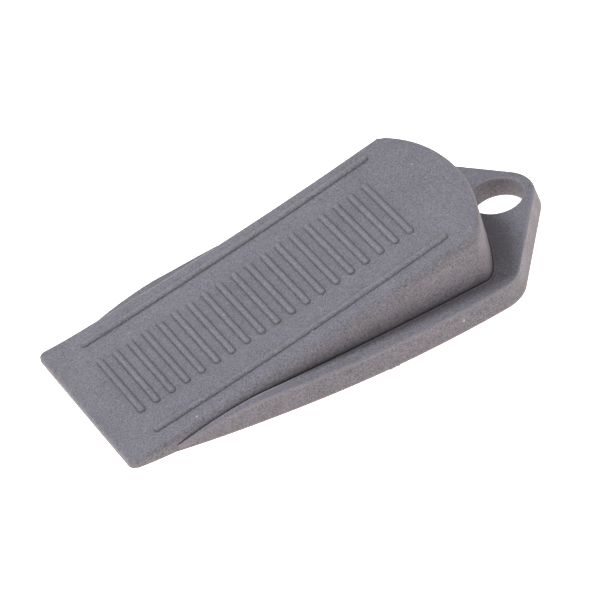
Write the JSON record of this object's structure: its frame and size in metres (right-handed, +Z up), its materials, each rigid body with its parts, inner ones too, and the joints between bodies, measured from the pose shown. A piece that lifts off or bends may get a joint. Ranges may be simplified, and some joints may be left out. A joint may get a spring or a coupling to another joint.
{
  "type": "door stop wedge",
  "caption": "Wedge door stop: hollow ribbed upper moulding set into a flanged base with a hanging tab, on a soft grip sole.",
  "frame": {"origin": "centre of the plan bounding box on the floor, under the grip sole", "axes": "+X from the thin front edge towards the hanging tab, +Z up from the floor"},
  "size_m": [0.1226, 0.0656, 0.0204],
  "materials": {
    "wedge": "matte moulded grey",
    "base": "matte moulded grey",
    "sole": "dull dark rubber"
  },
  "bodies": {
    "root": {"wedge_shell": "wedge", "base_plate": "base", "grip_sole": "sole"}
  },
  "joints": []
}
